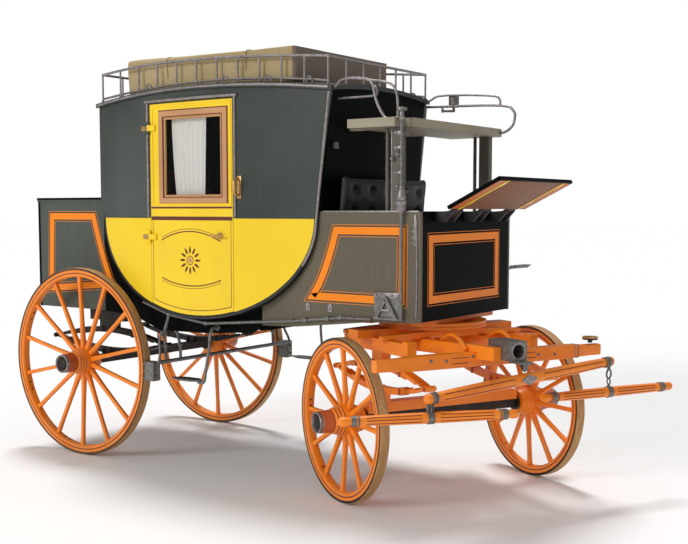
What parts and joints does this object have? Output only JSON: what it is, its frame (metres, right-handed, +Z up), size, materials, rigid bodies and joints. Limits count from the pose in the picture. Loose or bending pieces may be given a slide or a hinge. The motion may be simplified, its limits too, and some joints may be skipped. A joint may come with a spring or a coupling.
{
  "type": "stagecoach",
  "caption": "Horse-drawn mail stagecoach with a boat-shaped closed cabin, hinged doors, covered driver's box, roof gallery, spoked wheels and a steering fore-carriage.",
  "frame": {"origin": "centre of the bounding box, on the ground", "axes": "+X forward, +Y to the coach's left, +Z up"},
  "size_m": [4.3746, 2.2813, 2.714],
  "materials": {
    "bare_wood": "oiled planks",
    "black_iron": "black forged iron",
    "black_paint": "gloss black coach paint",
    "body_paint": "satin dark green-grey coach paint",
    "brass": "old brass",
    "bright_iron": "worn bright iron",
    "canopy_grey": "grey-olive paint on boards",
    "canvas": "tan waterproof canvas over a box",
    "cloth": "buttoned wine-red cloth",
    "door_yellow": "gloss yellow coach paint",
    "flap_wood": "brown varnish with black edges",
    "glass": "clear window glass",
    "grey_iron": "grey forged iron",
    "leather": "black driving-seat leather",
    "olive_paint": "satin olive coach paint",
    "orange_wood": "orange oil paint over ash, lined in brown",
    "tyre_iron": "worn iron tread with a tan bloom of road dust"
  },
  "bodies": {
    "coach": {"cabin_floor": "bare_wood", "right_side_panel": "body_paint", "left_side_panel": "body_paint", "front_wall": "black_paint", "rear_wall": "body_paint", "roof": "body_paint", "rear_seat": "cloth", "front_seat": "cloth", "hind_boot": "body_paint", "right_quarter_panel": "olive_paint", "left_quarter_panel": "olive_paint", "front_panel": "black_paint", "driver_box": "bare_wood", "driver_cushion": "leather", "canopy": "canopy_grey", "canopy_posts": "canopy_grey", "flap_brackets": "black_iron", "gallery_rail": "bright_iron", "luggage_box": "canvas", "grab_rails": "bright_iron", "lamp_socket": "grey_iron", "underframe": "body_paint", "rear_springs": "black_iron", "rear_axle": "black_iron", "upper_turntable": "orange_wood", "brake_spindle": "grey_iron", "brake_rod": "grey_iron", "brake_shoes": "grey_iron", "steps": "grey_iron"},
    "right_door": {"right_door": "door_yellow", "right_door_glass": "glass", "right_door_lever": "brass"},
    "left_door": {"left_door": "door_yellow", "left_door_glass": "glass", "left_door_lever": "brass"},
    "boot_door": {"boot_door": "body_paint"},
    "knee_flap": {"knee_flap": "flap_wood"},
    "fore_carriage": {"front_axle": "black_iron", "axle_bed": "orange_wood", "front_springs": "orange_wood", "lower_turntable": "orange_wood", "futchells": "orange_wood", "splinter_bar": "orange_wood", "pole_socket": "grey_iron", "mounting_disc": "grey_iron"},
    "evener": {"evener": "orange_wood"},
    "right_swingletree": {"right_swingletree": "orange_wood"},
    "left_swingletree": {"left_swingletree": "orange_wood"},
    "rear_right_wheel": {"rear_right_wheel": "orange_wood", "rear_right_tyre": "tyre_iron"},
    "rear_left_wheel": {"rear_left_wheel": "orange_wood", "rear_left_tyre": "tyre_iron"},
    "front_right_wheel": {"front_right_wheel": "orange_wood", "front_right_tyre": "tyre_iron"},
    "front_left_wheel": {"front_left_wheel": "orange_wood", "front_left_tyre": "tyre_iron"}
  },
  "joints": [
    {"name": "steer", "type": "hinge", "parent": "coach", "child": "fore_carriage", "pos_m": [0.8997, 0.2606, 1], "axis": [0, 0, 1], "range_deg": [-9, 61]},
    {"name": "rear_right_spin", "type": "hinge", "parent": "coach", "child": "rear_right_wheel", "pos_m": [-1.5093, -0.4414, 0.65], "axis": [0, 1, 0], "continuous": true},
    {"name": "rear_left_spin", "type": "hinge", "parent": "coach", "child": "rear_left_wheel", "pos_m": [-1.5093, 0.9626, 0.65], "axis": [0, 1, 0], "continuous": true},
    {"name": "front_right_spin", "type": "hinge", "parent": "fore_carriage", "child": "front_right_wheel", "pos_m": [0.69539, -0.40466, 0.481], "axis": [0.4384, 0.8988, 0], "continuous": true},
    {"name": "front_left_spin", "type": "hinge", "parent": "fore_carriage", "child": "front_left_wheel", "pos_m": [1.29815, 0.83118, 0.481], "axis": [0.4384, 0.8988, 0], "continuous": true},
    {"name": "right_door_hinge", "type": "hinge", "parent": "coach", "child": "right_door", "pos_m": [-0.8913, -0.37402, 1.875], "axis": [0, 0, -1], "range_deg": [0, 90]},
    {"name": "left_door_hinge", "type": "hinge", "parent": "coach", "child": "left_door", "pos_m": [-0.8913, 0.89522, 1.875], "axis": [0, 0, 1], "range_deg": [0, 90]},
    {"name": "boot_door_hinge", "type": "hinge", "parent": "coach", "child": "boot_door", "pos_m": [-2.1593, 0.6946, 1.38], "axis": [0, 0, -1], "range_deg": [0, 100]},
    {"name": "knee_flap_hinge", "type": "hinge", "parent": "coach", "child": "knee_flap", "pos_m": [1.2557, 0.2606, 1.7], "axis": [0, -1, 0], "range_deg": [0, 115]},
    {"name": "evener_swing", "type": "hinge", "parent": "fore_carriage", "child": "evener", "pos_m": [1.71519, -0.12045, 0.778], "axis": [0, 0, 1], "range_deg": [-9, 9]},
    {"name": "right_swingletree_swing", "type": "hinge", "parent": "evener", "child": "right_swingletree", "pos_m": [1.49338, -0.75771, 0.7], "axis": [0, 0, 1], "range_deg": [-20, 20]},
    {"name": "left_swingletree_swing", "type": "hinge", "parent": "evener", "child": "left_swingletree", "pos_m": [1.93831, 0.51951, 0.7], "axis": [0, 0, 1], "range_deg": [-20, 20]}
  ]
}
